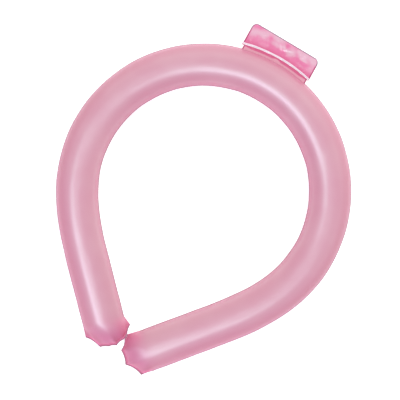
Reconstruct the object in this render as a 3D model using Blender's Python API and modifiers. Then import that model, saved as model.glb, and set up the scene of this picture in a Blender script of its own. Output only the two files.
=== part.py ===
"""Neck cooling tube: a soft ring of film, filled with a cooling gel, that is worn round the neck.

The ring lies flat, as on a table. X runs across it, +Y points to its back, where the filling tab
stands out, and +Z is up. Its two arms meet at the front. The origin is the middle of the
footprint, on the surface that the ring rests on. Lengths are in metres.
"""

import math
from collections import namedtuple

import bmesh
import bpy
import numpy as np
from mathutils import Matrix, Vector

# Driving sizes of the ring
TUBE_DIAMETER = 0.023
RING_RADIUS = 0.0688             # from the ring's centre to the tube's centreline
ARM_TURN = math.radians(132.0)   # how far each arm turns, from the back of the ring to its end
EASE_LENGTH = 0.052              # where the ring's curve eases into a straight arm
END_GAP = 0.0004                 # between the two ends, where they meet
MEETING_OFFSET = -0.001          # where they meet, across the ring

# Driving sizes of the film and the gel
FILM_THICKNESS = 0.0006
SEAM_THICKNESS = 0.0006          # both layers of film, pressed together by the weld
WELD_WIDTH = 0.0016              # of the weld that closes each end
GEL_GAP = 0.0003                 # between the gel and the film
GEL_END_GAP = 0.0015             # between the gel and the weld at each end

# Driving sizes of the filling tab
TAB_WIDTH = 0.0405
TAB_RISE = 0.0129                # from the tube's outer edge to the tab's top edge
TAB_TURN = math.radians(-1.9)    # the tab sits a little to one side of the ring's back
TAB_LEAN = math.radians(-1.3)    # its top edge leans further
TAB_CORNER = 0.003
NECK_RISE = 0.0016               # from the tube's outer edge to the bead
NECK_INSET = 0.0014              # how much narrower the neck is, on each side
BEAD_DIAMETER = 0.0018
FOLD_LIFT = 0.0006               # height of the tab's main folds
FOLD_START = 0.4                 # share of the tab's height over which they rise from the bead
SLOT_CLEARANCE = 0.0003          # round the tab's root in the tube's slot

# Facets
SECTION_SIDES = 15               # of half the tube's section: odd, so that its lowest side is level
SECTION_TURN = math.radians(8.0)
EASE_SECTIONS = 4
END_SECTIONS = 5
PATH_STEPS = 400
TAB_COLUMNS = 16
CORNER_ROWS = 3
PLATE_ROWS = (0.3, 0.65, 1.0)    # shares of the tab's height, from its bead to its corners
BEAD_SIDES = 10
SHORTEST_SHARE = 0.3             # of an end's reach that is kept inside the film
SMOOTH_ANGLE = math.radians(35)
WELD_DISTANCE = 1e-6             # between points that are one

# The gathered ends. Each row is a point of the welded edge, from the outer side of the ring to
# the inner one. across and reach are shares of the tube's radius, from the arm's centreline and
# from where the end begins, and sag is how far the edge to the next point curves in.
EndPoint = namedtuple("EndPoint", "across reach sag")
RIGHT_END = (
    EndPoint(1.00, 0.12, 0.02),
    EndPoint(0.985, 0.73, 0.08),
    EndPoint(0.27, 1.26, 0.05),
    EndPoint(-0.45, 1.215, 0.05),
    EndPoint(-0.865, 0.887, 0.00),
    EndPoint(-1.05, 0.679, 0.00),
)
LEFT_END = (
    EndPoint(1.01, 0.52, 0.06),
    EndPoint(0.48, 1.13, 0.04),
    EndPoint(-0.32, 1.25, 0.05),
    EndPoint(-0.74, 1.063, 0.00),
    EndPoint(-0.93, 0.852, 0.03),
    EndPoint(-1.18, 0.455, 0.00),
)

# The tab's folds. across and up are shares of its half width and of its height above the bead,
# lift is a share of FOLD_LIFT, and spread is a share of the half width. Each fold runs up the tab.
FOLD_SLENDERNESS = 0.5
Fold = namedtuple("Fold", "across up lift spread")
TAB_FOLDS = (
    Fold(-0.80, 0.80, 0.7, 0.22),
    Fold(-0.45, 0.55, 1.0, 0.20),
    Fold(-0.12, 0.35, -0.8, 0.16),
    Fold(0.12, 0.70, 0.9, 0.18),
    Fold(0.48, 0.40, -1.0, 0.20),
    Fold(0.82, 0.65, 0.6, 0.18),
)

# Colours as linear red, green and blue
FILM_COLOUR = (0.72, 0.36, 0.44, 1.0)
GEL_COLOUR = (0.86, 0.72, 0.78, 1.0)
TAB_COLOUR = (0.84, 0.25, 0.43, 1.0)

# Sizes that follow from the ones above
TUBE_RADIUS = TUBE_DIAMETER / 2
OUTER_RADIUS = RING_RADIUS + TUBE_RADIUS
ARC_TURN = ARM_TURN - EASE_LENGTH / (2 * RING_RADIUS)
ARC_LENGTH = RING_RADIUS * ARC_TURN
HOLLOW_RADIUS = TUBE_RADIUS - FILM_THICKNESS
GEL_RADIUS = HOLLOW_RADIUS - GEL_GAP
FLAT_DEPTH = TUBE_RADIUS * math.cos(math.pi / (2 * SECTION_SIDES))
ROOT_RADIUS = RING_RADIUS + HOLLOW_RADIUS
TAB_THICKNESS = 2 * FILM_THICKNESS
NECK_HALF_WIDTH = TAB_WIDTH / 2 - NECK_INSET
BEAD_RADIUS = OUTER_RADIUS + NECK_RISE + BEAD_DIAMETER / 2


def clear_scene():
    """Removes the objects that Blender starts with."""
    for thing in list(bpy.data.objects):
        bpy.data.objects.remove(thing, do_unlink=True)


def new_collection(name):
    collection = bpy.data.collections.new(name)
    bpy.context.scene.collection.children.link(collection)
    return collection


def new_material(name, colour, roughness):
    material = bpy.data.materials.new(name)
    material.use_nodes = True
    shader = material.node_tree.nodes["Principled BSDF"]
    shader.inputs["Base Color"].default_value = colour
    shader.inputs["Roughness"].default_value = roughness
    shader.inputs["Metallic"].default_value = 0.0
    return material


def object_from_bmesh(name, bm, collection):
    """Closes a bmesh into a mesh object whose faces point out, smooth but for its edges."""
    bmesh.ops.recalc_face_normals(bm, faces=bm.faces)
    mesh = bpy.data.meshes.new(name)
    bm.to_mesh(mesh)
    bm.free()
    mesh.shade_smooth()
    mesh.set_sharp_from_angle(angle=SMOOTH_ANGLE)
    thing = bpy.data.objects.new(name, mesh)
    collection.objects.link(thing)
    return thing


def mesh_from_curve(name, curve, collection):
    """Turns a curve with filled caps into a closed mesh object."""
    source = bpy.data.objects.new(name + "_curve", curve)
    collection.objects.link(source)
    evaluated = source.evaluated_get(bpy.context.evaluated_depsgraph_get())
    mesh = bpy.data.meshes.new_from_object(evaluated)
    bm = bmesh.new()
    bm.from_mesh(mesh)
    bmesh.ops.remove_doubles(bm, verts=bm.verts, dist=WELD_DISTANCE)
    thing = object_from_bmesh(name, bm, collection)
    thing.matrix_world = source.matrix_world.copy()
    bpy.data.objects.remove(source, do_unlink=True)
    bpy.data.meshes.remove(mesh)
    return thing


def hide_cutter(cutter):
    cutter.hide_render = True
    cutter.display_type = "WIRE"


def add_boolean(target, operand, operation):
    modifier = target.modifiers.new(operation.lower(), "BOOLEAN")
    modifier.operation = operation
    modifier.solver = "EXACT"
    modifier.object = operand


def turned(distance):
    """How far an arm has turned at a distance along it from the back of the ring."""
    if distance <= ARC_LENGTH:
        return distance / RING_RADIUS
    eased = min(distance - ARC_LENGTH, EASE_LENGTH)
    return ARC_TURN + (eased - eased * eased / (2 * EASE_LENGTH)) / RING_RADIUS


def arm_point(distance, straight):
    """A point of the right arm's centreline, the ring's centre being at the origin.

    The arm is an arc, then a stretch whose curve eases off, then a straight run.
    """
    arc = min(distance, ARC_LENGTH)
    x = RING_RADIUS * math.sin(arc / RING_RADIUS)
    y = RING_RADIUS * math.cos(arc / RING_RADIUS)
    eased = min(max(distance - ARC_LENGTH, 0.0), EASE_LENGTH)
    step = eased / PATH_STEPS
    for index in range(PATH_STEPS):
        angle = turned(ARC_LENGTH + (index + 0.5) * step)
        x += step * math.cos(angle)
        y -= step * math.sin(angle)
    run = min(max(distance - ARC_LENGTH - EASE_LENGTH, 0.0), straight)
    return Vector((x + run * math.cos(ARM_TURN), y - run * math.sin(ARM_TURN), 0.0))


def arm_frame(distance, straight, side):
    """Centre, direction and outward normal of an arm; side is 1 for the right arm, -1 for the left."""
    mirror = Matrix.Diagonal((side, 1.0, 1.0))
    angle = turned(distance)
    along = Vector((math.cos(angle), -math.sin(angle), 0.0))
    outward = Vector((math.sin(angle), math.cos(angle), 0.0))
    return mirror @ arm_point(distance, straight), mirror @ along, mirror @ outward


def end_outline(points, radius):
    """The welded edge of an end as (reach, across) pairs, one for each column of the section."""
    outline = []
    for column in range(SECTION_SIDES + 1):
        place = column * (len(points) - 1) / SECTION_SIDES
        index = min(int(place), len(points) - 2)
        share = place - index
        start, stop = points[index], points[index + 1]
        chord = Vector((stop.reach - start.reach, stop.across - start.across))
        inward = Vector((chord.y, -chord.x)).normalized()
        sag = 4 * start.sag * share * (1 - share)
        spot = Vector((start.reach, start.across)) + share * chord + sag * inward
        outline.append(radius * spot)
    return outline


def straight_run(points, side):
    """Length of an arm's straight run, so that its end stops half of END_GAP from the other."""
    ease_end, along, outward = arm_frame(ARC_LENGTH + EASE_LENGTH, 0.0, 1)
    tip = min(reach * along.x + across * outward.x for reach, across in end_outline(points, TUBE_RADIUS))
    target = side * MEETING_OFFSET + END_GAP / 2
    return (ease_end.x + tip - target) / -along.x


def section_half(radius):
    """Upper half of the tube's section: (outward, up) from the outer seam to the inner one."""
    half = []
    for column in range(SECTION_SIDES + 1):
        angle = math.pi * column / SECTION_SIDES
        half.append((radius * math.cos(angle), max(SEAM_THICKNESS / 2, radius * math.sin(angle))))
    return half


def ring_of(places):
    """Upper places and their mirror images below, as one closed ring."""
    return places + [Vector((p.x, p.y, -p.z)) for p in reversed(places)]


def arm_sections(radius, cut_back, points, side):
    """The rings of one arm, from the back of the ring to its welded end.

    Args:
        radius: radius of the lofted body.
        cut_back: how far the body stops short of the end's welded edge.
        points: the EndPoint rows of this arm.
        side: 1 for the right arm, -1 for the left.
    """
    straight = straight_run(points, side)
    arc_sections = math.ceil(ARC_TURN / SECTION_TURN)
    stations = [ARC_LENGTH * index / arc_sections for index in range(arc_sections + 1)]
    stations += [ARC_LENGTH + EASE_LENGTH * index / EASE_SECTIONS for index in range(1, EASE_SECTIONS + 1)]
    stations.append(ARC_LENGTH + EASE_LENGTH + straight)
    half = section_half(radius)
    rings = []
    for station in stations:
        centre, along, outward = arm_frame(station, straight, side)
        rings.append(ring_of([centre + out * outward + Vector((0, 0, up)) for out, up in half]))

    seam_up = SEAM_THICKNESS / 2
    outline = end_outline(points, TUBE_RADIUS)
    slimming = radius / TUBE_RADIUS
    for index in range(1, END_SECTIONS + 1):
        bend = math.pi / 2 * index / END_SECTIONS
        places = []
        for (out, up), (reach, across) in zip(half, outline):
            share = max(1 - cut_back / reach, SHORTEST_SHARE) * math.sin(bend)
            out_here = out + share * (slimming * across - out)
            up_here = seam_up + (up - seam_up) * math.cos(bend)
            places.append(centre + share * reach * along + out_here * outward + Vector((0, 0, up_here)))
        rings.append(ring_of(places))
    return rings


def loft_tube(name, radius, cut_back, collection):
    """A closed body through the sections of both arms, its ends closed along their edges."""
    right = arm_sections(radius, cut_back, RIGHT_END, 1)
    left = arm_sections(radius, cut_back, LEFT_END, -1)
    rings = list(reversed(left)) + right[1:]
    bm = bmesh.new()
    rows = [[bm.verts.new(place) for place in ring] for ring in rings]
    count = len(rows[0])
    for row, following in zip(rows, rows[1:]):
        for index in range(count):
            after = (index + 1) % count
            bm.faces.new((row[index], row[after], following[after], following[index]))
    for row in (rows[0], rows[-1]):
        for index in range(SECTION_SIDES):
            bm.faces.new((row[index], row[index + 1], row[count - 2 - index], row[count - 1 - index]))
    return object_from_bmesh(name, bm, collection)


def build_slot(collection):
    """Cutter of the filling slot, which lets the tab's root through the tube's outer wall."""
    half_width = NECK_HALF_WIDTH + SLOT_CLEARANCE
    wall_drop = ROOT_RADIUS - math.sqrt(ROOT_RADIUS ** 2 - half_width ** 2)
    start = ROOT_RADIUS - wall_drop - TAB_THICKNESS
    stop = OUTER_RADIUS + NECK_RISE
    bm = bmesh.new()
    bmesh.ops.create_cube(bm, size=1.0)
    scale = Matrix.Diagonal((2 * half_width, stop - start, TAB_THICKNESS + 2 * SLOT_CLEARANCE, 1.0))
    place = Matrix.Translation((0.0, (start + stop) / 2, 0.0))
    bm.transform(Matrix.Rotation(TAB_TURN, 4, "Z") @ place @ scale)
    slot = object_from_bmesh("slot_cutter", bm, collection)
    hide_cutter(slot)
    return slot


def build_film_tube(parts, cutters, material):
    tube = loft_tube("film_tube", TUBE_RADIUS, 0.0, parts)
    hollow = loft_tube("hollow_cutter", HOLLOW_RADIUS, WELD_WIDTH, cutters)
    hide_cutter(hollow)
    add_boolean(tube, hollow, "DIFFERENCE")
    add_boolean(tube, build_slot(cutters), "DIFFERENCE")
    tube.data.materials.append(material)
    return tube


def build_cooling_gel(parts, material):
    gel = loft_tube("cooling_gel", GEL_RADIUS, WELD_WIDTH + GEL_END_GAP, parts)
    gel.data.materials.append(material)
    return gel


def tab_top(x):
    """Height of the tab's top edge over the ring's centre."""
    return OUTER_RADIUS + TAB_RISE + x * math.tan(TAB_LEAN)


def tab_rows():
    """The tab's rows from its root to its top edge, as (half width, arc radius, rise) triples.

    Rise is 0 on a row that follows an arc round the ring's centre, and 1 on the top edge.
    """
    half_width = TAB_WIDTH / 2
    rows = [
        (NECK_HALF_WIDTH, ROOT_RADIUS, 0.0),
        (NECK_HALF_WIDTH, OUTER_RADIUS + NECK_RISE, 0.0),
        (half_width, BEAD_RADIUS, 0.0),
    ]
    side_height = tab_top(half_width) - math.sqrt(BEAD_RADIUS ** 2 - half_width ** 2)
    corner_start = 1.0 - TAB_CORNER / side_height
    rows += [(half_width, BEAD_RADIUS, corner_start * share) for share in PLATE_ROWS]
    for index in range(1, CORNER_ROWS + 1):
        angle = math.pi / 2 * index / CORNER_ROWS
        drop = TAB_CORNER * (1 - math.sin(angle)) / side_height
        rows.append((half_width - TAB_CORNER * (1 - math.cos(angle)), BEAD_RADIUS, 1.0 - drop))
    return rows


def fold_height(across, rise):
    """Height of the tab's folds at a place, fading to nothing at the bead."""
    height = 0.0
    for fold in TAB_FOLDS:
        away = math.hypot(across - fold.across, FOLD_SLENDERNESS * (rise - fold.up)) / fold.spread
        height += FOLD_LIFT * fold.lift * math.exp(-away * away)
    return height * math.sin(math.pi / 2 * min(1.0, rise / FOLD_START))


def build_fill_tab(parts, cutters, material):
    """The tab: a folded plate of two films on a narrower neck, with a bead across its base."""
    bm = bmesh.new()
    grid = []
    for half_width, arc_radius, rise in tab_rows():
        row = []
        for column in range(TAB_COLUMNS + 1):
            across = 2 * column / TAB_COLUMNS - 1
            x = across * half_width
            base = math.sqrt(arc_radius ** 2 - x ** 2)
            y = base + rise * (tab_top(x) - base)
            row.append(bm.verts.new((x, y, fold_height(across, rise))))
        grid.append(row)
    for row, above in zip(grid, grid[1:]):
        for column in range(TAB_COLUMNS):
            bm.faces.new((row[column], row[column + 1], above[column + 1], above[column]))
    tab = object_from_bmesh("fill_tab", bm, parts)
    solidify = tab.modifiers.new("two films", "SOLIDIFY")
    solidify.thickness = TAB_THICKNESS
    solidify.offset = 0.0
    add_boolean(tab, build_bead(cutters), "UNION")
    tab.rotation_euler.z = TAB_TURN
    tab.data.materials.append(material)
    return tab


def build_bead(cutters):
    """The welded bead, a round bar along an arc round the ring's centre."""
    half_angle = math.asin(TAB_WIDTH / 2 / BEAD_RADIUS)
    curve = bpy.data.curves.new("bead", "CURVE")
    curve.dimensions = "3D"
    curve.bevel_depth = BEAD_DIAMETER / 2
    curve.bevel_resolution = BEAD_SIDES // 2 - 2
    curve.use_fill_caps = True
    spline = curve.splines.new("POLY")
    spline.points.add(TAB_COLUMNS)
    for index, point in enumerate(spline.points):
        angle = half_angle * (2 * index / TAB_COLUMNS - 1)
        point.co = (BEAD_RADIUS * math.sin(angle), BEAD_RADIUS * math.cos(angle), 0.0, 1.0)
    bead = mesh_from_curve("bead_shape", curve, cutters)
    bead.rotation_euler.z = TAB_TURN
    hide_cutter(bead)
    return bead


def footprint_middle(things):
    """Middle of the pieces' box, seen from above."""
    bpy.context.view_layer.update()
    graph = bpy.context.evaluated_depsgraph_get()
    spots = []
    for thing in things:
        shape = thing.evaluated_get(graph)
        spots += [shape.matrix_world @ vertex.co for vertex in shape.data.vertices]
    flat = np.array([(spot.x, spot.y) for spot in spots])
    return (flat.min(axis=0) + flat.max(axis=0)) / 2


def main():
    clear_scene()
    parts = new_collection("neck_cooling_tube")
    cutters = new_collection("cutters")
    film = build_film_tube(parts, cutters, new_material("film", FILM_COLOUR, 0.35))
    gel = build_cooling_gel(parts, new_material("gel", GEL_COLOUR, 0.5))
    tab = build_fill_tab(parts, cutters, new_material("tab_film", TAB_COLOUR, 0.2))

    middle = footprint_middle((film, gel, tab))
    ring_centre = bpy.data.objects.new("ring_centre", None)
    ring_centre.location = (-middle[0], -middle[1], FLAT_DEPTH)
    parts.objects.link(ring_centre)
    for thing in list(parts.objects) + list(cutters.objects):
        if thing is not ring_centre:
            thing.parent = ring_centre


main()
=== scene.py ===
"""Neck cooling tube: a ring of pearly pink film, filled with a cooling gel, on a pale table.

X runs across the ring, +Y points to its back, where the filling tab stands out, and +Z is up.
Lengths are in metres.
"""

import logging
import math
from dataclasses import dataclass
from enum import Enum
from typing import Any, NamedTuple, Optional, Union

import bpy
import numpy as np
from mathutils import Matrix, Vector


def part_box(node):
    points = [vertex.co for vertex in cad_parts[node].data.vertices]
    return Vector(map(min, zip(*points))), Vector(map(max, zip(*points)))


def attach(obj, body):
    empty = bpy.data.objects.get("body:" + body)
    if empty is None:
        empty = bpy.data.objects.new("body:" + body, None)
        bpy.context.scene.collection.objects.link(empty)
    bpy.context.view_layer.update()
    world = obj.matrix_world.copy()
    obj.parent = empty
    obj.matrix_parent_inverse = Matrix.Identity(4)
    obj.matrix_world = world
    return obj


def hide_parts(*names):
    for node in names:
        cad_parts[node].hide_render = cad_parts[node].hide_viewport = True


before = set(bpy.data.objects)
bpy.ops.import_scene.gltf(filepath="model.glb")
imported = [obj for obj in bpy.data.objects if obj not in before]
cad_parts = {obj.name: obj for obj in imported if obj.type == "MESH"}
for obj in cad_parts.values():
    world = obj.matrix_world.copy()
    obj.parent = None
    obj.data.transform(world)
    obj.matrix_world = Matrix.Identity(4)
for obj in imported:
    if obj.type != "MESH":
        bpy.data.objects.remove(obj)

LOG = logging.getLogger("neck_cooling_tube")
MM = 0.001
BODY = "root"
NOISE_ROUGHNESS = 0.55

Colour = tuple[float, float, float]


class Side(Enum):
    """The two arms of the ring."""

    RIGHT = 1
    LEFT = -1


class Slot(Enum):
    """The record's material slots."""

    FILM = "film"
    GEL = "gel"
    TAB = "tab_film"


# Shader maths


class Signal:
    """A value that varies over a surface, on which sums are written as Python."""

    def __init__(self, bench: "Bench", socket: bpy.types.NodeSocket) -> None:
        """Keeps the output socket that carries the value.

        Args:
            bench: the material that the socket belongs to.
            socket: the output socket.
        """
        self.bench = bench
        self.socket = socket

    def __add__(self, other: "Number") -> "Signal":
        """This value plus another."""
        return self.bench.maths("ADD", self, other)

    def __radd__(self, other: "Number") -> "Signal":
        """Another value plus this one."""
        return self.bench.maths("ADD", other, self)

    def __sub__(self, other: "Number") -> "Signal":
        """This value less another."""
        return self.bench.maths("SUBTRACT", self, other)

    def __rsub__(self, other: "Number") -> "Signal":
        """Another value less this one."""
        return self.bench.maths("SUBTRACT", other, self)

    def __mul__(self, other: "Number") -> "Signal":
        """This value times another."""
        return self.bench.maths("MULTIPLY", self, other)

    def __rmul__(self, other: "Number") -> "Signal":
        """Another value times this one."""
        return self.bench.maths("MULTIPLY", other, self)

    def __abs__(self) -> "Signal":
        """This value without its sign."""
        return self.bench.maths("ABSOLUTE", self)


Number = Union[Signal, float]


class Bench:
    """The nodes of one material."""

    def __init__(self, name: str) -> None:
        """Starts an empty material.

        Args:
            name: the material's name.
        """
        self.material = bpy.data.materials.new(name)
        self.material.use_nodes = True
        self.tree = self.material.node_tree
        self.tree.nodes.clear()

    def node(
        self,
        kind: str,
        settings: Optional[dict[str, Any]] = None,
        inputs: Optional[dict[Union[str, int], Any]] = None,
    ) -> bpy.types.Node:
        """Adds a node.

        Args:
            kind: the node's type.
            settings: its own settings, which are set first.
            inputs: a value or a Signal for each socket, by name or number.

        Returns:
            The new node.
        """
        made = self.tree.nodes.new(kind)
        for name, value in (settings or {}).items():
            setattr(made, name, value)
        for name, value in (inputs or {}).items():
            if isinstance(value, Signal):
                self.tree.links.new(value.socket, made.inputs[name])
            else:
                made.inputs[name].default_value = value
        return made

    def output(self, made: bpy.types.Node, name: Union[str, int]) -> Signal:
        """One output of a node as a Signal."""
        return Signal(self, made.outputs[name])

    def maths(self, operation: str, *values: Number) -> Signal:
        """A Math node on one or two values."""
        made = self.node("ShaderNodeMath", {"operation": operation}, dict(enumerate(values)))
        return self.output(made, 0)

    def measured(self, name: str) -> Signal:
        """A measure that the mesh keeps at its points."""
        made = self.node("ShaderNodeAttribute", {"attribute_name": name})
        return self.output(made, "Fac")

    def step(self, value: Number, low: float, high: float) -> Signal:
        """0 below low, 1 above high, and smooth between them.

        Args:
            value: what is measured.
            low: where the step starts.
            high: where it ends, which may be below low for a falling step.

        Returns:
            The mask.
        """
        falling = high < low
        made = self.node(
            "ShaderNodeMapRange",
            {"interpolation_type": "SMOOTHSTEP"},
            {
                "Value": value,
                "From Min": min(low, high),
                "From Max": max(low, high),
                "To Min": 1.0 if falling else 0.0,
                "To Max": 0.0 if falling else 1.0,
            },
        )
        return self.output(made, 0)

    def cloud(self, size: float, detail: float = 2.0) -> Signal:
        """Noise from 0 to 1.

        Args:
            size: the size of its patches in metres.
            detail: how many finer layers it has.

        Returns:
            The noise.
        """
        place = self.output(self.node("ShaderNodeTexCoord"), "Object")
        inputs = {"Vector": place, "Scale": 1.0 / size, "Detail": detail, "Roughness": NOISE_ROUGHNESS}
        return self.output(self.node("ShaderNodeTexNoise", {"noise_dimensions": "3D"}, inputs), 0)

    def blend(self, share: Number, first: Union[Signal, Colour], second: Union[Signal, Colour]) -> Signal:
        """A colour between two others.

        Args:
            share: 0 for the first colour, 1 for the second.
            first: a colour or a Signal that carries one.
            second: a colour or a Signal that carries one.

        Returns:
            The mixed colour.
        """
        colours = [c if isinstance(c, Signal) else (*c, 1.0) for c in (first, second)]
        made = self.node("ShaderNodeMix", {"data_type": "RGBA"}, {0: share, 6: colours[0], 7: colours[1]})
        return self.output(made, 2)

    def bump(self, height: Signal, strength: float, depth: float) -> Signal:
        """A surface relief that is too fine for the mesh.

        Args:
            height: the relief, from 0 to 1.
            strength: how strongly it shows.
            depth: its depth in metres.

        Returns:
            The normal.
        """
        inputs = {"Strength": strength, "Distance": depth, "Height": height}
        made = self.node("ShaderNodeBump", inputs=inputs)
        return self.output(made, 0)

    def finish(self, constants: dict[str, float], **varying: Signal) -> bpy.types.Material:
        """Ends the material in a Principled shader.

        Args:
            constants: values that are the same all over, by socket name.
            varying: signals, by socket name with underscores for spaces.

        Returns:
            The finished material.
        """
        inputs: dict[Union[str, int], Any] = dict(constants)
        inputs.update({name.replace("_", " "): signal for name, signal in varying.items()})
        shader = self.node("ShaderNodeBsdfPrincipled", inputs=inputs)
        end = self.node("ShaderNodeOutputMaterial")
        self.tree.links.new(shader.outputs[0], end.inputs[0])
        return self.material


# Meshes


class Shell(NamedTuple):
    """A closed surface: its points, its faces and the measures that it keeps at its points."""

    points: np.ndarray
    faces: list[tuple[int, ...]]
    measures: dict[str, np.ndarray]


def smooth_rise(value: np.ndarray, low: float, high: float) -> np.ndarray:
    """0 below low, 1 above high, and smooth between them."""
    share = np.clip((value - low) / (high - low), 0.0, 1.0)
    return share * share * (3 - 2 * share)


def turned_inside_out(shell: Shell) -> Shell:
    """The same surface with its faces turned, as the wall of a hollow."""
    return Shell(shell.points, [tuple(reversed(face)) for face in shell.faces], shell.measures)


def make_piece(name: str, shells: list[Shell], material: bpy.types.Material) -> bpy.types.Object:
    """Makes one piece of the object out of closed surfaces.

    Args:
        name: the piece's name.
        shells: its closed surfaces.
        material: its finish.

    Returns:
        The new object, smooth and riding on the ring's body.
    """
    points = np.concatenate([shell.points for shell in shells])
    faces = []
    start = 0
    for shell in shells:
        faces += [tuple(start + corner for corner in face) for face in shell.faces]
        start += len(shell.points)
    mesh = bpy.data.meshes.new(name)
    mesh.from_pydata(points.tolist(), [], faces)
    for measure in shells[0].measures:
        values = np.concatenate([shell.measures[measure] for shell in shells])
        mesh.attributes.new(measure, "FLOAT", "POINT").data.foreach_set("value", values.astype(np.float32))
    mesh.shade_smooth()
    mesh.validate()
    mesh.materials.append(material)
    piece = bpy.data.objects.new(name, mesh)
    bpy.context.scene.collection.objects.link(piece)
    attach(piece, BODY)
    LOG.info("%s: %d points, %d faces", name, len(points), len(faces))
    return piece


# The ring


@dataclass(frozen=True)
class ArmPath:
    """The centreline of an arm: an arc, a stretch whose curve eases off, and a straight run."""

    ring_radius: float = 68.8 * MM
    arm_turn: float = math.radians(132.0)
    ease_length: float = 52.0 * MM
    fine_step: float = 0.1 * MM

    @property
    def arc_length(self) -> float:
        """Length of the arc, from the back of the ring."""
        return self.ring_radius * self.arm_turn - self.ease_length / 2

    @property
    def bent_length(self) -> float:
        """Length up to where the straight run begins."""
        return self.arc_length + self.ease_length

    def turned(self, distance: np.ndarray) -> np.ndarray:
        """How far the arm has turned at each distance along it."""
        eased = np.clip(distance - self.arc_length, 0.0, self.ease_length)
        arc = np.minimum(distance, self.arc_length)
        return (arc + eased - eased * eased / (2 * self.ease_length)) / self.ring_radius

    def places(self, distances: np.ndarray, side: Side) -> tuple[np.ndarray, np.ndarray, np.ndarray]:
        """The arm's frame at some distances along it.

        Args:
            distances: distances from the back of the ring.
            side: which arm.

        Returns:
            Centres, directions and outward normals, one row for each distance, the ring's centre
            being at the origin.
        """
        count = int(np.ceil(distances.max() / self.fine_step)) + 1
        knots = np.arange(count + 1) * self.fine_step
        angles = self.turned(knots[:-1] + self.fine_step / 2)
        x = np.concatenate(([0.0], np.cumsum(np.cos(angles)))) * self.fine_step
        y = self.ring_radius - np.concatenate(([0.0], np.cumsum(np.sin(angles)))) * self.fine_step
        mirror = np.array([side.value, 1.0, 1.0])
        turn = self.turned(distances)
        flat = np.zeros_like(distances)
        centres = np.column_stack((np.interp(distances, knots, x), np.interp(distances, knots, y), flat))
        along = np.column_stack((np.cos(turn), -np.sin(turn), flat))
        outward = np.column_stack((np.sin(turn), np.cos(turn), flat))
        return centres * mirror, along * mirror, outward * mirror


class EndPoint(NamedTuple):
    """A point of a gathered end's welded edge, as shares of the tube's radius.

    across and reach are measured from the arm's centreline and from where the end begins, and sag
    is how far the edge to the next point curves in.
    """

    across: float
    reach: float
    sag: float


RIGHT_END = (
    EndPoint(1.00, 0.12, 0.02),
    EndPoint(0.985, 0.73, 0.08),
    EndPoint(0.27, 1.26, 0.05),
    EndPoint(-0.45, 1.215, 0.05),
    EndPoint(-0.865, 0.887, 0.00),
    EndPoint(-1.05, 0.679, 0.00),
)
LEFT_END = (
    EndPoint(1.01, 0.52, 0.06),
    EndPoint(0.48, 1.13, 0.03),
    EndPoint(0.07, 1.20, 0.03),
    EndPoint(-0.32, 1.25, 0.05),
    EndPoint(-0.74, 1.063, 0.00),
    EndPoint(-0.93, 0.852, 0.03),
    EndPoint(-1.18, 0.455, 0.00),
)


@dataclass(frozen=True)
class Arm:
    """One arm of the ring with its gathered end."""

    side: Side
    points: tuple[EndPoint, ...]
    path: ArmPath = ArmPath()
    tube_radius: float = 11.5 * MM
    end_gap: float = 0.05 * MM
    meeting_offset: float = -1.0 * MM

    def outline(self, shares: np.ndarray) -> tuple[np.ndarray, np.ndarray, np.ndarray]:
        """The welded edge of the end.

        Args:
            shares: places along it, from 0 on the outer side of the ring to 1 on the inner one.

        Returns:
            Reach and across in metres, and how far each place is from the nearest point, where 0
            is on a point and 1 is halfway between two.
        """
        table = np.array(self.points)
        place = shares * (len(table) - 1)
        index = np.minimum(place.astype(int), len(table) - 2)
        share = place - index
        start = table[index]
        chord = table[index + 1] - start
        length = np.hypot(chord[:, 0], chord[:, 1])
        sag = 4 * start[:, 2] * share * (1 - share) / length
        across = start[:, 0] + share * chord[:, 0] - sag * chord[:, 1]
        reach = start[:, 1] + share * chord[:, 1] + sag * chord[:, 0]
        between = 4 * share * (1 - share)
        return self.tube_radius * reach, self.tube_radius * across, between

    def straight_run(self) -> float:
        """Length of the straight run, so that the end stops half of the gap from the other end."""
        centres, along, outward = self.path.places(np.array([self.path.bent_length]), Side.RIGHT)
        reach, across, _ = self.outline(np.linspace(0.0, 1.0, 151))
        tip = (reach * along[0, 0] + across * outward[0, 0]).min()
        target = self.side.value * self.meeting_offset + self.end_gap / 2
        return float((centres[0, 0] + tip - target) / -along[0, 0])


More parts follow.
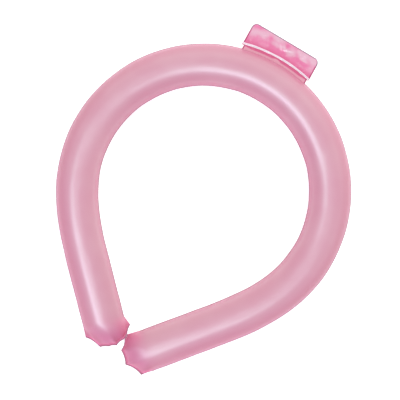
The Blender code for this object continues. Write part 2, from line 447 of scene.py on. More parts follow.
@dataclass(frozen=True)
class TubeWall:
    """A lofted wall of the tube: its section, its weld ridge and how finely it is meshed."""

    width_radius: float
    height_radius: float
    flat_depth: float
    ridge_height: float
    columns: int
    spacing: float
    weld: float
    sway: float
    ridge_spread: float = 0.42 * MM
    ridge_tip: float = 0.12 * MM
    flange_up: float = 0.26 * MM
    seam_crowding: float = 0.72
    dome_rows: int = 26
    dome_start: float = 2.5
    dome_close: float = 1.65
    flange_rows: int = 3
    pleat_height: float = 0.30 * MM
    pleat_rise_power: float = 3.0
    pleat_fall_power: float = 0.5
    shortest_share: float = 0.3
    edge_samples: int = 160
    edge_run: float = 12 * MM
    swell_waves: tuple[tuple[float, float], ...] = ((23 * MM, 1.0), (41 * MM, 1.3), (13.5 * MM, 0.5))
    right_phase: float = 0.9
    left_phase: float = 2.3
    calm_length: float = 12 * MM

    def half_section(self) -> tuple[np.ndarray, np.ndarray, np.ndarray]:
        """Half of the section, from the outer seam to the inner one.

        Returns:
            The share of the way round, the way out and the way up of each column.
        """
        even = np.linspace(0.0, 1.0, self.columns + 1)
        shares = even - self.seam_crowding * np.sin(2 * np.pi * even) / (2 * np.pi)
        angles = np.pi * shares
        up = np.maximum(self.ridge_tip, self.height_radius * np.sin(angles))
        ridge = self.ridge_height * np.exp(-((up - self.ridge_tip) / self.ridge_spread) ** 2)
        out = self.width_radius * np.cos(angles) + np.sign(np.cos(angles)) * ridge
        return shares, out, up

    def stations(self, arm: Arm) -> np.ndarray:
        """Distances of the rings along an arm, up to where its end begins."""
        length = arm.path.bent_length + arm.straight_run()
        return np.linspace(0.0, length, int(round(length / self.spacing)) + 1)

    def swell(self, distances: np.ndarray, side: Side) -> np.ndarray:
        """How much the soft tube swells at each distance along an arm, in metres."""
        phase = self.right_phase if side is Side.RIGHT else self.left_phase
        swell = np.zeros_like(distances)
        for number, (length, share) in enumerate(self.swell_waves, start=1):
            swell += share * np.sin(2 * np.pi * distances / length + phase * number)
        return self.sway * swell * smooth_rise(distances, 0.0, self.calm_length)

    def rings(self, arm: Arm) -> tuple[np.ndarray, ...]:
        """The rings of one arm, from the back of the ring to its welded edge.

        Args:
            arm: which arm.

        Returns:
            The rings' points, how far beyond the start of the end each one lies, how far inside
            the welded edge, seen from above, its side, from 1 on the outer seam to -1 on the inner
            one, its height over the seam, and how far from the back of the ring it lies.
        """
        shares, out, up = self.half_section()
        stations = self.stations(arm)
        centres, along, outward = arm.path.places(stations, arm.side)
        swell = self.swell(stations, arm.side)
        layers: list[tuple[np.ndarray, ...]] = []
        widest = np.abs(out).max()
        for centre, normal, extra, station in zip(centres, outward, swell, stations):
            size = 1 + extra / self.height_radius
            points = self.ring(centre, normal, out * size, up * size)
            beyond = np.full_like(out, station - stations[-1])
            measures = (beyond, widest - np.abs(out), out / widest, up * size)
            layers.append((points, *map(self.doubled, measures)))

        reach, across, between = arm.outline(shares)
        narrowing = self.width_radius / arm.tube_radius if self.ridge_height == 0.0 else 1.0
        last_share = np.maximum(1 - self.weld / np.hypot(reach, across - out), self.shortest_share)
        centre, direction, normal = centres[-1], along[-1], outward[-1]
        size = 1 + swell[-1] / self.height_radius
        for rise, fall, welded in self.dome_steps():
            share = last_share * rise + (1 - last_share) * welded
            fold = (1 - 2 * between) * rise**self.pleat_rise_power * fall**self.pleat_fall_power
            out_here = out * size + share * (narrowing * across - out * size)
            up_here = self.flange_up + (up * size - self.flange_up) * fall + self.pleat_height * fold
            beyond = share * reach
            points = self.ring(centre + beyond[:, None] * direction, normal, out_here, up_here)
            inset = self.edge_distance(arm, beyond, out_here)
            measures = (beyond, inset, out_here / widest, up_here)
            layers.append((points, *map(self.doubled, measures)))
        columns = [np.array(column) for column in zip(*layers)]
        return (*columns, columns[1] + stations[-1])

    def dome_steps(self) -> list[tuple[float, float, float]]:
        """The rows of an end as (share of the way to the weld, share of the height, share of the weld)."""
        rises = [math.sin(math.pi / 2 * row / self.dome_rows) for row in range(1, self.dome_rows + 1)]
        steps = [(rise, self.dome_height(rise), 0.0) for rise in rises]
        if self.ridge_height > 0.0:
            steps += [(1.0, 0.0, row / self.flange_rows) for row in range(1, self.flange_rows + 1)]
        return steps

    def edge_distance(self, arm: Arm, reach: np.ndarray, out: np.ndarray) -> np.ndarray:
        """How far places on an end lie inside its welded edge, seen from above.

        Args:
            arm: which arm.
            reach: how far beyond the start of the end each place lies.
            out: how far out each place lies.

        Returns:
            The distance to the nearest point of the edge.
        """
        end_reach, end_across, _ = arm.outline(np.linspace(0.0, 1.0, self.edge_samples))
        back = -self.edge_run * np.linspace(1.0, 0.0, self.edge_samples)
        widest = self.width_radius + self.ridge_height
        edge_reach = np.concatenate((back, end_reach, back))
        edge_across = np.concatenate((np.full_like(back, widest), end_across, np.full_like(back, -widest)))
        return np.hypot(reach[:, None] - edge_reach, out[:, None] - edge_across).min(axis=1)

    def doubled(self, values: np.ndarray) -> np.ndarray:
        """Values of the columns of half a ring, over the top and back below."""
        return np.concatenate((values, values[::-1]))

    def dome_height(self, share: float) -> float:
        """Height of an end at a share of the way to its weld, as a share of the tube's height."""
        return max(1 - share**self.dome_start, 0.0) ** (1 / self.dome_close)

    def ring(self, centre: np.ndarray, normal: np.ndarray, out: np.ndarray, up: np.ndarray) -> np.ndarray:
        """One closed ring of points.

        Args:
            centre: the ring's centre, or one for each column.
            normal: the outward direction.
            out: how far out each column lies.
            up: how far up each column lies.

        Returns:
            The points, over the top and back below.
        """
        flat = centre + out[:, None] * normal
        above = flat + np.array([0.0, 0.0, 1.0]) * up[:, None]
        below = flat - np.array([0.0, 0.0, 1.0]) * np.minimum(up, self.flat_depth)[:, None]
        above[:, 2] = np.minimum(above[:, 2], self.flat_depth)
        return np.concatenate((above, below[::-1]))

    def shell(self, arms: tuple[Arm, Arm], centre: np.ndarray) -> Shell:
        """The closed wall through both arms.

        Args:
            arms: the right arm and the left one.
            centre: the ring's centre in the frame.

        Returns:
            The wall, with "beyond", "inset", "side", "height" and "along" as its measures.
        """
        right = self.rings(arms[0])
        left = self.rings(arms[1])
        rings, *measured = (np.concatenate((b[::-1], a[1:])) for a, b in zip(right, left))
        rows, count, _ = rings.shape
        faces = []
        for row in range(rows - 1):
            for column in range(count):
                here = row * count + column
                after = row * count + (column + 1) % count
                faces.append((here, after, after + count, here + count))
        last = (rows - 1) * count
        for column in range(count // 2 - 1):
            below = count - 1 - column
            faces.append((column + 1, column, below, below - 1))
            faces.append((last + column, last + column + 1, last + below - 1, last + below))
        names = ("beyond", "inset", "side", "height", "along")
        measures = {name: values.reshape(-1) for name, values in zip(names, measured)}
        return Shell(rings.reshape(-1, 3) + centre, faces, measures)


@dataclass(frozen=True)
class PearlFilm:
    """Satin, pearly pink film, deeper in colour at its ends and along its welded edges, with painted shade
    along its silhouette and on the tube's outer side, and painted light on its welded fins.
    """

    body: Colour = (0.635, 0.243, 0.320)
    milky: Colour = (0.650, 0.270, 0.341)
    end: Colour = (0.60, 0.152, 0.265)
    # flank: painted shade on the outer side of the tube.
    flank: Colour = (0.57, 0.160, 0.236)
    # rim: painted shade, a deeper pink along the tube's silhouette.
    rim_shade: Colour = (0.60, 0.165, 0.258)
    # fin: painted light, a bright hot pink that lifts the shaded fins and inner corners of the ends.
    fin_light: Colour = (0.76, 0.165, 0.300)
    # edge: the weld's own dark line along the seam, darkened further as painted shade at the silhouette.
    edge: Colour = (0.36, 0.075, 0.140)
    roughness: float = 0.42
    end_roughening: float = 0.16
    coat: float = 0.25

    def material(self) -> bpy.types.Material:
        """Builds the film's finish."""
        bench = Bench("pearl_film")
        inset = bench.measured("inset")
        beyond = bench.measured("beyond")
        side = bench.measured("side")
        clouds = bench.cloud(24 * MM, 2.0)
        haze = bench.cloud(5 * MM, 2.0)

        colour = bench.blend(bench.step(clouds, 0.35, 0.70), self.body, self.milky)
        at_end = bench.step(beyond + 6 * MM * (clouds - 0.5), -5 * MM, 10 * MM)
        colour = bench.blend(0.85 * at_end, colour, self.end)
        # Painted shade: the outer side of the tube, between its rim and its top, is darkened to a deeper
        # pink.
        on_shaded_flank = bench.step(inset, 6.5 * MM, 1.2 * MM) * bench.step(side, 0.1, 0.4)
        colour = bench.blend(on_shaded_flank, colour, self.flank)
        # Painted shade: a deeper pink band along the tube's silhouette, seen from above.
        at_rim_shade = bench.step(inset + 0.8 * MM * (haze - 0.5), 2.4 * MM, 0.5 * MM)
        colour = bench.blend(0.85 * at_rim_shade, colour, self.rim_shade)
        # Painted light: the flat welded fins and the inner corners of the ends are lifted to a bright hot
        # pink, cancelling the shade they fall in.
        at_fin = bench.step(beyond, 0.5 * MM, 3.0 * MM) * bench.step(inset, 2.2 * MM, 0.8 * MM)
        at_corner = bench.step(beyond, -1.5 * MM, 3.0 * MM) * bench.step(side, -0.30, -0.95)
        colour = bench.blend(bench.maths("MAXIMUM", 0.8 * at_fin, 0.5 * at_corner), colour, self.fin_light)
        # The weld's own dark line, deepened as painted shade where the seam forms the silhouette.
        on_seam = bench.step(bench.measured("height"), 1.20 * MM, 0.60 * MM)
        clear_of_tab = bench.step(bench.measured("along") - 20 * MM * side, -4 * MM, 0.0)
        at_edge = bench.step(inset, 0.75 * MM, 0.30 * MM) * on_seam * clear_of_tab
        colour = bench.blend(at_edge, colour, self.edge)

        gathered = bench.step(beyond, -1.0 * MM, 6.0 * MM)
        roughness = self.roughness + 0.05 * (clouds - 0.5) + 0.10 * at_rim_shade + self.end_roughening * gathered
        coat = self.coat * (1.0 - gathered)
        grain = 0.7 * bench.cloud(1.1 * MM, 3.0) + 0.3 * bench.cloud(0.35 * MM, 2.0)
        constants = {"Specular IOR Level": 0.45, "Coat Roughness": 0.26, "Coat IOR": 1.45}
        normal = bench.bump(grain, 0.10, 0.04 * MM)
        varying = {"Base_Color": colour, "Roughness": roughness, "Coat_Weight": coat, "Normal": normal}
        return bench.finish(constants, **varying)


@dataclass(frozen=True)
class WaxyGel:
    """Pale pink gel, waxy and mottled when it has set."""

    body: Colour = (0.86, 0.70, 0.77)
    wax: Colour = (0.92, 0.82, 0.87)

    def material(self) -> bpy.types.Material:
        """Builds the gel's finish."""
        bench = Bench("waxy_gel")
        mottle = bench.cloud(6 * MM, 4.0)
        flakes = bench.cloud(1.5 * MM, 3.0)
        colour = bench.blend(bench.step(mottle, 0.4, 0.65), self.body, self.wax)
        roughness = 0.42 + 0.2 * flakes
        normal = bench.bump(0.6 * mottle + 0.4 * flakes, 0.25, 0.2 * MM)
        constants = {"Specular IOR Level": 0.4}
        return bench.finish(constants, Base_Color=colour, Roughness=roughness, Normal=normal)


@dataclass(frozen=True)
class FilledRing:
    """The ring itself: the film tube with its gathered ends, and the gel that fills it."""

    film_thickness: float = 0.6 * MM
    gel_gap: float = 0.3 * MM
    weld_width: float = 1.6 * MM
    gel_end_gap: float = 1.5 * MM
    width_radius: float = 11.18 * MM
    height_radius: float = 11.5 * MM
    ridge_height: float = 0.32 * MM
    flat_depth: float = 11.437 * MM
    fill: float = 0.9

    def arms(self) -> tuple[Arm, Arm]:
        """The right arm and the left one."""
        return Arm(Side.RIGHT, RIGHT_END), Arm(Side.LEFT, LEFT_END)

    def wall(self, inset: float, cut_back: float, columns: int, spacing: float) -> TubeWall:
        """A smooth wall inside the film.

        Args:
            inset: how far it lies inside the film's outer face.
            cut_back: how far it stops short of the welded edge.
            columns: columns of half its section.
            spacing: distance between its rings.

        Returns:
            The wall.
        """
        return TubeWall(
            self.width_radius - inset,
            self.height_radius - inset,
            self.flat_depth - inset,
            0.0,
            columns,
            spacing,
            cut_back,
            0.0,
            seam_crowding=0.3,
            dome_rows=10,
            pleat_height=0.0,
        )

    def build_film(self, centre: np.ndarray) -> bpy.types.Object:
        """Builds the hollow film tube round the ring's centre."""
        outer = TubeWall(
            self.width_radius,
            self.height_radius,
            self.flat_depth,
            self.ridge_height,
            52,
            1.1 * MM,
            1.2 * MM,
            0.035 * MM,
        )
        inner = self.wall(self.film_thickness, self.weld_width, 20, 2.4 * MM)
        shells = [outer.shell(self.arms(), centre), turned_inside_out(inner.shell(self.arms(), centre))]
        film = make_piece("tube_film", shells, PearlFilm().material())
        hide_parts("film_tube")
        return film

    def build_gel(self, centre: np.ndarray) -> bpy.types.Object:
        """Builds the gel inside the film tube."""
        inset = self.film_thickness + self.gel_gap
        core = self.wall(inset, self.weld_width + self.gel_end_gap, 24, 2.2 * MM)
        gel = make_piece("gel_filling", [core.shell(self.arms(), centre)], WaxyGel().material())
        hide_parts("cooling_gel")
        return gel


# The filling tab


class Fold(NamedTuple):
    """A soft fold of the tab. across and up are shares of its half width and height."""

    across: float
    up: float
    lift: float
    spread: float


class HighlightPatch(NamedTuple):
    """A patch of painted highlight on the tab's film, a pale reflection: its middle, size and strength."""

    across: float
    up: float
    breadth: float
    height: float
    strength: float


class Wrinkle(NamedTuple):
    """A sharp wrinkle of the tab's film: its middle, length, breadth, slant in degrees and lift."""

    across: float
    up: float
    length: float
    breadth: float
    slant: float
    lift: float


TAB_FOLDS = (
    Fold(-0.80, 0.80, 0.7, 0.22),
    Fold(-0.45, 0.55, 1.0, 0.20),
    Fold(-0.12, 0.35, -0.8, 0.16),
    Fold(0.12, 0.70, 0.9, 0.18),
    Fold(0.48, 0.40, -1.0, 0.20),
    Fold(0.82, 0.65, 0.6, 0.18),
)
# Painted highlight patches on the tab, standing for pale reflections on its glossy film; a negative strength
# holds them back.
TAB_HIGHLIGHT_PATCHES = (
    HighlightPatch(-0.66, 0.70, 0.20, 0.20, 1.0),
    HighlightPatch(-0.90, 0.55, 0.12, 0.22, 0.7),
    HighlightPatch(-0.20, 0.85, 0.28, 0.14, 0.8),
    HighlightPatch(-0.20, 0.55, 0.30, 0.13, 0.7),
    HighlightPatch(0.01, 0.65, 0.05, 0.12, 0.8),
    HighlightPatch(0.22, 0.50, 0.15, 0.22, 0.9),
    HighlightPatch(0.55, 0.80, 0.30, 0.16, 0.7),
    HighlightPatch(0.62, 0.58, 0.12, 0.08, 0.9),
    HighlightPatch(0.60, 0.28, 0.14, 0.10, 0.5),
    HighlightPatch(0.88, 0.50, 0.12, 0.25, 0.7),
    HighlightPatch(0.90, 0.80, 0.10, 0.15, 0.6),
    HighlightPatch(0.06, 0.78, 0.06, 0.14, -0.5),
    HighlightPatch(-0.40, 0.72, 0.07, 0.20, -0.45),
    HighlightPatch(0.62, 0.42, 0.15, 0.08, -0.5),
    HighlightPatch(-0.86, 0.92, 0.12, 0.12, -0.3),
)
TAB_WRINKLES = (
    Wrinkle(-0.72, 0.55, 0.30, 0.050, 20.0, 0.6),
    Wrinkle(-0.50, 0.70, 0.28, 0.045, -25.0, 0.8),
    Wrinkle(-0.28, 0.50, 0.30, 0.050, 10.0, -0.7),
    Wrinkle(-0.05, 0.62, 0.26, 0.045, -15.0, 0.9),
    Wrinkle(0.16, 0.50, 0.22, 0.040, 62.0, -0.8),
    Wrinkle(0.30, 0.66, 0.30, 0.050, -8.0, 0.8),
    Wrinkle(0.52, 0.60, 0.26, 0.045, 28.0, 0.9),
    Wrinkle(0.66, 0.38, 0.28, 0.050, -18.0, -0.7),
    Wrinkle(0.84, 0.45, 0.20, 0.040, 60.0, 0.6),
)


@dataclass(frozen=True)
class GlossyTabFilm:
    """Two glossy pink films pressed together, hot pink by the bead and paler towards the top edge, with
    painted highlight patches on the plate, painted shade in the crease and next to the bead, and a neck
    lightened by painted light.
    """

    hot: Colour = (0.80, 0.150, 0.32)
    # pale: the colour of the painted highlight patches.
    pale: Colour = (0.80, 0.370, 0.48)
    # crease: painted shade for the crease by the bead.
    crease_shade: Colour = (0.72, 0.085, 0.22)
    # neck: lighter than the tube's film, painted light that lifts the neck out of its shade.
    neck: Colour = (0.82, 0.310, 0.42)
    edge: Colour = (0.26, 0.10, 0.16)
    side_edge: Colour = (0.48, 0.045, 0.15)
    roughness: float = 0.24

    def material(self) -> bpy.types.Material:
        """Builds the tab film's finish."""
        bench = Bench("glossy_tab_film")
        up = bench.measured("up")
        across = bench.measured("across")
        inside = bench.measured("inside")
        highlight_share = bench.measured("highlight_share")
        patches = bench.cloud(5.5 * MM, 1.0)
        fine = bench.cloud(2.2 * MM, 1.0)

        # Painted highlight: pale patches, rising towards the top edge, stand in for reflections on the
        # glossy film.
        painted_highlight = bench.step(highlight_share + 0.6 * (patches - 0.5) + 0.3 * (fine - 0.5), 0.05, 0.80)
        colour = bench.blend(painted_highlight, self.hot, self.pale)
        # Painted shade: the plate deepens in the crease-shade colour next to the bead.
        near_bead = bench.step(up, 0.30, 0.08)
        colour = bench.blend(0.55 * near_bead, colour, self.crease_shade)
        # Painted light: the neck is lifted to a lighter pink, cancelling the shade it sits in between the
        # plate and the tube.
        on_neck = bench.step(up, 0.0, -0.02)
        colour = bench.blend(on_neck, colour, self.neck)
        # Painted shade in the crease between the neck and the bead.
        thinner = 0.05 * bench.step(abs(across), 0.16, 0.02) + 0.06 * bench.step(abs(across), 0.70, 1.0)
        in_crease = on_neck * bench.step(up - thinner, -0.19, -0.13)
        colour = bench.blend(in_crease, colour, self.crease_shade)
        at_edge = bench.step(inside, 0.80 * MM, 0.35 * MM)
        colour = bench.blend(0.9 * at_edge, colour, self.edge)
        at_side = bench.step(abs(across), 0.950, 0.980) * bench.step(up, 0.72, 0.60)
        colour = bench.blend(at_side, colour, self.side_edge)

        roughness = self.roughness + 0.22 * (fine - 0.5)
        normal = bench.bump(0.6 * patches + 0.4 * fine, 0.5, 0.35 * MM)
        constants = {"Specular IOR Level": 0.5, "Coat Weight": 0.35, "Coat Roughness": 0.22, "Coat IOR": 1.5}
        return bench.finish(constants, Base_Color=colour, Roughness=roughness, Normal=normal)


@dataclass(frozen=True)
class HighlightedBead:
    """The welded bead, with a painted highlight that makes its top nearly white, deeper pink on its flanks
    and painted shade in the groove along its top.
    """

    # body: the painted highlight along the bead's top.
    body: Colour = (0.92, 0.60, 0.71)
    # flank: deeper pink on the bead's sides, where the painted highlight falls off.
    flank: Colour = (0.74, 0.24, 0.38)
    # line: painted shade in the groove along the bead's top.
    line: Colour = (0.50, 0.36, 0.44)

    def material(self) -> bpy.types.Material:
        """Builds the bead's finish."""
        bench = Bench("highlighted_bead")
        groove = bench.measured("groove")
        flank = bench.measured("flank")
        patches = bench.cloud(3.0 * MM, 3.0)
        shown = bench.step(patches, 0.42, 0.62)
        # Painted highlight on the bead's top, falling off to deeper pink on its sides.
        colour = bench.blend(bench.step(flank, 0.58, 0.86), self.body, self.flank)
        # Painted shade: a greyish line, in patches, along the groove on the bead's top.
        colour = bench.blend(0.55 * groove * shown, colour, self.line)
        roughness = 0.16 + 0.2 * patches
        normal = bench.bump(patches, 0.25, 0.2 * MM)
        constants = {"Specular IOR Level": 0.5, "Coat Weight": 0.7, "Coat Roughness": 0.08}
        return bench.finish(constants, Base_Color=colour, Roughness=roughness, Normal=normal)


@dataclass(frozen=True)
class FillTab:
    """The flat filling tab at the back: a folded plate on a narrower neck, with a bead at its base."""

    width: float = 41.3 * MM
    rise: float = 13.0 * MM
    turn: float = math.radians(-1.62)
    lean: float = math.radians(-1.75)
    corner: float = 3.0 * MM
    neck_rise: float = 2.1 * MM
    neck_inset: float = 1.1 * MM
    neck_root: float = 0.5 * MM
    bead_diameter: float = 1.7 * MM
    bead_overhang: float = 0.35 * MM
    groove_depth: float = 0.10
    thickness: float = 1.2 * MM
    edge_thickness: float = 0.6 * MM
    edge_width: float = 0.9 * MM
    shoulder_share: float = 0.3
    shoulder_drop: float = 0.45 * MM
    side_crowding: float = 0.7
    # How much painted highlight rises towards the top edge, and how strongly its patches show.
    painted_highlight: float = 0.30
    patch_strength: float = 0.6
    fold_lift: float = 0.45 * MM
    wrinkle_lift: float = 0.13 * MM
    fold_start: float = 0.4
    fold_slenderness: float = 0.5
    outer_radius: float = 80.3 * MM
    columns: int = 110
    plate_rows: int = 44
    neck_rows: int = 8
    corner_rows: int = 10
    bead_stations: int = 150
    bead_sides: int = 32
    bead_cap_rows: int = 6
    bead_waves: tuple[tuple[float, float, float], ...] = ((0.04, 3.1 * MM, 0.0), (0.03, 1.2 * MM, 1.0))
    groove_width: float = 0.22

    @property
    def bead_radius(self) -> float:
        """Radius of the arc that the bead follows, round the ring's centre."""
        return self.outer_radius + self.neck_rise + self.bead_diameter / 2

    def top(self, x: np.ndarray) -> np.ndarray:
        """Height of the tab's top edge over the ring's centre."""
        return self.outer_radius + self.rise + x * math.tan(self.lean)

    def rows(self) -> list[tuple[float, float, float]]:
        """The tab's rows as (half width, arc radius, rise); rise is 1 on the top edge."""
        half_width = self.width / 2
        neck = half_width - self.neck_inset
        root = self.outer_radius - self.neck_root
        shoulder = self.outer_radius + self.neck_rise
        rows = [(neck, radius, 0.0) for radius in np.linspace(root, shoulder, self.neck_rows + 1)]
        slope = half_width - self.neck_inset * self.shoulder_share
        rows.append((slope, self.bead_radius - self.shoulder_drop, 0.0))
        side_height = float(self.top(np.array(half_width)) - math.sqrt(self.bead_radius**2 - half_width**2))
        corner_start = 1.0 - self.corner / side_height
        for index in range(self.plate_rows + 1):
            rows.append((half_width, self.bead_radius, corner_start * index / self.plate_rows))
        for index in range(1, self.corner_rows + 1):
            angle = math.pi / 2 * index / self.corner_rows
            drop = self.corner * (1 - math.sin(angle)) / side_height
            rows.append((half_width - self.corner * (1 - math.cos(angle)), self.bead_radius, 1.0 - drop))
        return rows

    def relief(self, across: np.ndarray, up: float) -> np.ndarray:
        """Height of the folds and wrinkles along one row, fading to nothing at the bead.

        Args:
            across: places along the row, from -1 to 1.
            up: the row's share of the tab's height.

        Returns:
            The height at each place.
        """
        height = np.zeros_like(across)
        for fold in TAB_FOLDS:
            away = np.hypot(across - fold.across, self.fold_slenderness * (up - fold.up)) / fold.spread
            height += self.fold_lift * fold.lift * np.exp(-away * away)
        aspect = self.rise / (self.width / 2)
        for wrinkle in TAB_WRINKLES:
            slant = math.radians(wrinkle.slant)
            x = across - wrinkle.across
            y = aspect * (up - wrinkle.up)
            lengthwise = (x * math.sin(slant) + y * math.cos(slant)) / wrinkle.length
            sideways = (x * math.cos(slant) - y * math.sin(slant)) / wrinkle.breadth
            height += self.wrinkle_lift * wrinkle.lift * np.exp(-lengthwise**2 - sideways**2)
        return height * math.sin(math.pi / 2 * min(1.0, up / self.fold_start))

    def highlight_share(self, across: np.ndarray, up: float) -> np.ndarray:
        """How much painted highlight each place along one row gets, which turns the film pale there."""
        pale = np.full_like(across, self.painted_highlight * up)
        for patch in TAB_HIGHLIGHT_PATCHES:
            sideways = (across - patch.across) / patch.breadth
            upward = (up - patch.up) / patch.height
            pale += self.patch_strength * patch.strength * np.exp(-sideways**2 - upward**2)
        return pale

    def plate(self) -> Shell:
        """The plate and its neck, before they are turned into place."""
        even = np.linspace(-1.0, 1.0, self.columns + 1)
        across = (1 - self.side_crowding) * even + self.side_crowding * np.sin(np.pi / 2 * even)
        above, below, up_here, across_here, inside, highlight_share = [], [], [], [], [], []
        for half_width, arc_radius, rise in self.rows():
            x = across * half_width
            base = np.sqrt(arc_radius**2 - x**2)
            y = base + rise * (self.top(x) - base)
            middle = self.relief(across, rise) if rise > 0.0 else np.zeros_like(x)
            edge_away = np.minimum(half_width * (1 - np.abs(across)), self.top(x) - y)
            swell = smooth_rise(edge_away, 0.0, self.edge_width)
            half = (self.edge_thickness + (self.thickness - self.edge_thickness) * swell) / 2
            above.append(np.column_stack((x, y, middle + half)))
            below.append(np.column_stack((x, y, middle - half)))
            neck_share = (arc_radius - self.bead_radius) / self.rise
            up_here.append(np.full_like(x, rise if rise > 0.0 else neck_share))
            across_here.append(across)
            inside.append(edge_away if rise > 0.0 else np.ones_like(x))
            highlight_share.append(self.highlight_share(across, rise))
        rows, count = len(above), len(across)
        points = np.concatenate((np.concatenate(above), np.concatenate(below)))
        under = rows * count
        faces = []
        for row in range(rows - 1):
            for column in range(count - 1):
                a = row * count + column
                b = a + count
                faces.append((a, a + 1, b + 1, b))
                faces.append((under + b, under + b + 1, under + a + 1, under + a))
        last = (rows - 1) * count
        for column in range(count - 1):
            faces.append((column + 1, column, under + column, under + column + 1))
            end = last + column
            faces.append((end, end + 1, under + end + 1, under + end))
        for row in range(rows - 1):
            left = row * count
            right = left + count - 1
            faces.append((left, left + count, under + left + count, under + left))
            faces.append((right + count, right, under + right, under + right + count))
        measures = {"up": up_here, "across": across_here, "inside": inside, "highlight_share": highlight_share}
        doubled = {name: np.tile(np.concatenate(values), 2) for name, values in measures.items()}
        return Shell(points, faces, doubled)

    def bead_point(self, station: float, out: float = 0.0, up: float = 0.0) -> tuple[float, float, float]:
        """A point beside the bead's middle line, at a distance along it."""
        angle = station / self.bead_radius
        radius = self.bead_radius + out
        return radius * math.sin(angle), radius * math.cos(angle), up

    def bead(self) -> Shell:
        """The bead, a grooved bar with round ends, before it is turned into place."""
        radius = self.bead_diameter / 2
        half_length = self.bead_radius * math.asin(self.width / 2 / self.bead_radius)
        start = -half_length - self.bead_overhang
        stop = half_length + self.bead_overhang / 3
        middle = np.linspace(start + radius, stop - radius, self.bead_stations)
        cap = np.linspace(0.0, np.pi / 2, self.bead_cap_rows + 2)[1:-1]
        first_cap = start + radius * (1 - np.sin(cap[::-1]))
        stations = np.concatenate((first_cap, middle, stop - radius * (1 - np.sin(cap))))
        sizes = np.concatenate((np.cos(cap[::-1]), np.ones_like(middle), np.cos(cap)))
        waves = [share * np.sin(stations / length + phase) for share, length, phase in self.bead_waves]
        sizes = sizes * (1 + sum(waves))
        turns = 2 * np.pi * np.arange(self.bead_sides) / self.bead_sides
        away = np.abs(np.arctan2(np.sin(turns), np.cos(turns)))
        groove = np.exp(-((away / self.groove_width) ** 2))
        profile = radius * (1 - self.groove_depth * groove)
        points = [self.bead_point(start)]
        for station, size in zip(stations, sizes):
            outs, ups = profile * size * np.sin(turns), profile * size * np.cos(turns)
            points += [self.bead_point(station, out, up) for out, up in zip(outs, ups)]
        points.append(self.bead_point(stop))
        sides = self.bead_sides
        faces = []
        for row in range(len(stations) - 1):
            for column in range(sides):
                here = 1 + row * sides + column
                after = 1 + row * sides + (column + 1) % sides
                faces.append((here, here + sides, after + sides, after))
        end = len(points) - 1
        for column in range(sides):
            after = (column + 1) % sides
            faces.append((0, 1 + column, 1 + after))
            faces.append((end, end - sides + after, end - sides + column))
        grooves = np.concatenate(([0.0], np.tile(groove, len(stations)), [0.0]))
        flanks = np.concatenate(([1.0], np.tile(np.abs(np.sin(turns)), len(stations)), [1.0]))
        return Shell(np.array(points), faces, {"groove": grooves, "flank": flanks})

    def placed(self, shell: Shell, centre: np.ndarray) -> Shell:
        """A surface turned to the tab's side and moved to the ring's centre."""
        cosine, sine = math.cos(self.turn), math.sin(self.turn)
        turn = np.array([[cosine, -sine, 0.0], [sine, cosine, 0.0], [0.0, 0.0, 1.0]])
        return Shell(shell.points @ turn.T + centre, shell.faces, shell.measures)

    def build(self, centre: np.ndarray) -> list[bpy.types.Object]:
        """Builds the tab's plate and its bead round the ring's centre."""
        dressed = (
            ("tab_plate", self.plate(), GlossyTabFilm().material()),
            ("tab_bead", self.bead(), HighlightedBead().material()),
        )
        pieces = []
        for name, shell, material in dressed:
            piece = make_piece(name, [self.placed(shell, centre)], material)
            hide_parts("fill_tab")
            pieces.append(piece)
        return pieces


# The table, the lights and the camera


class Reach(Enum):
    """What a light is seen in: the gloss of a surface or its matt colour."""

    GLOSS = "gloss"
    MATT = "matt"


@dataclass(frozen=True)
class SoftBox:
    """A studio light that points at the middle of the ring; angles are in degrees."""

    name: str
    turn: float
    height: float
    distance: float
    width: float
    depth: float
    radiance: float
    colour: Colour
    reach: Reach

    def build(self, target: Vector) -> None:
        """Puts the light in its place.

        Args:
            target: the point that it faces.
        """
        data = bpy.data.lights.new(self.name, "AREA")
        data.shape = "RECTANGLE"
        data.size = self.width
        data.size_y = self.depth
        data.energy = self.radiance * math.pi * self.width * self.depth
        data.color = self.colour
        light = bpy.data.objects.new(self.name, data)
        turn, height = math.radians(self.turn), math.radians(self.height)
        flat = math.cos(height)
        away = Vector((math.sin(turn) * flat, -math.cos(turn) * flat, math.sin(height)))
        light.location = target + self.distance * away
        light.rotation_euler = away.to_track_quat("Z", "Y").to_euler()
        light.visible_camera = False
        light.visible_diffuse = self.reach is Reach.MATT
        light.visible_glossy = self.reach is Reach.GLOSS
        bpy.context.scene.collection.objects.link(light)


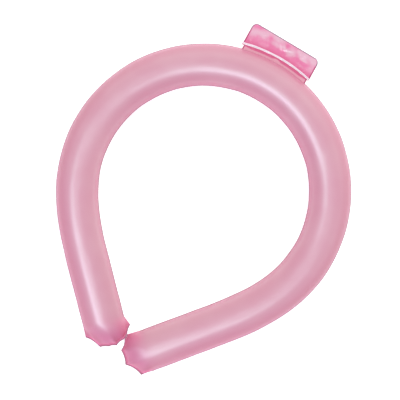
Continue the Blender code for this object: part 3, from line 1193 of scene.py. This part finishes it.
@dataclass(frozen=True)
class Studio:
    """A plain pale table in soft studio light, and the camera that looks straight down."""

    table_size: float = 6.0
    table_colour: Colour = (0.90, 0.90, 0.90)
    table_glow: float = 0.50
    sky: float = 0.74
    camera_height: float = 1.2
    view_width: float = 0.2176
    view_turn: float = math.radians(27.5)
    view_middle: tuple[float, float] = (0.45 * MM, -0.28 * MM)
    sensor: float = 36.0

    def lights(self) -> tuple[SoftBox, ...]:
        """The soft boxes, by where they stand: turn 0 is at the front of the ring."""
        return (
            SoftBox("front_strip", -10.0, 60.0, 1.0, 0.75, 0.18, 15.0, (0.75, 0.72, 1.0), Reach.GLOSS),
            SoftBox("front_halo", -8.0, 66.0, 1.1, 1.2, 0.6, 8.4, (0.52, 1.0, 0.92), Reach.GLOSS),
            SoftBox("back_fill", 180.0, 35.0, 1.3, 1.2, 0.9, 4.4, (0.52, 1.0, 0.88), Reach.MATT),
            SoftBox("front_fill", 0.0, 35.0, 1.3, 1.2, 0.9, 2.4, (0.54, 0.66, 1.0), Reach.MATT),
        )

    def build_table(self) -> None:
        """Lays the pale table under the ring."""
        half = self.table_size / 2
        edge = [(-half, -half, 0.0), (half, -half, 0.0), (half, half, 0.0), (-half, half, 0.0)]
        mesh = bpy.data.meshes.new("table")
        mesh.from_pydata(edge, [], [(0, 1, 2, 3)])
        bench = Bench("pale_table")
        grain = bench.cloud(3 * MM, 2.0)
        constants = {"Specular IOR Level": 0.1, "Emission Strength": self.table_glow}
        shade = bench.blend(grain, self.table_colour, tuple(0.99 * part for part in self.table_colour))
        mesh.materials.append(bench.finish(constants, Base_Color=shade, Roughness=0.85 + 0.05 * grain))
        table = bpy.data.objects.new("table", mesh)
        bpy.context.scene.collection.objects.link(table)

    def build_sky(self) -> None:
        """Makes the pale room round the table."""
        world = bpy.data.worlds.new("pale_room")
        world.use_nodes = True
        background = world.node_tree.nodes["Background"]
        background.inputs["Color"].default_value = (1.0, 1.0, 1.0, 1.0)
        background.inputs["Strength"].default_value = self.sky
        bpy.context.scene.world = world

    def build_camera(self, target_height: float) -> None:
        """Sets the camera straight above the ring.

        Args:
            target_height: the height at which the view is view_width wide.
        """
        data = bpy.data.cameras.new("photo_camera")
        data.sensor_width = self.sensor
        data.lens = self.sensor * self.camera_height / self.view_width
        camera = bpy.data.objects.new("photo_camera", data)
        camera.location = (*self.view_middle, target_height + self.camera_height)
        camera.rotation_euler = (0.0, 0.0, self.view_turn)
        bpy.context.scene.collection.objects.link(camera)
        bpy.context.scene.camera = camera

    def build(self, target: Vector) -> None:
        """Builds everything round the ring.

        Args:
            target: the middle of the ring at the height of its seams.
        """
        self.build_table()
        self.build_sky()
        for light in self.lights():
            light.build(target)
        self.build_camera(target.z)
        bpy.context.scene.view_settings.view_transform = "Standard"


def ring_centre(ring: FilledRing) -> np.ndarray:
    """The ring's centre in the frame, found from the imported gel."""
    gel_radius = ring.height_radius - ring.film_thickness - ring.gel_gap
    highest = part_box("cooling_gel")[1]
    return np.array([0.0, highest.y - ArmPath().ring_radius - gel_radius, ring.flat_depth])


def main() -> None:
    """Builds the ring, its tab and the studio."""
    logging.basicConfig(level=logging.INFO, format="%(message)s")
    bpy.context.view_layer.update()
    ring = FilledRing()
    centre = ring_centre(ring)
    LOG.info("ring centre: %s", centre)
    pieces = [ring.build_film(centre), ring.build_gel(centre), *FillTab().build(centre)]
    Studio().build(Vector((0.0, 0.0, ring.flat_depth)))
    LOG.info("%d pieces", len(pieces))


if __name__ == "__main__":
    main()
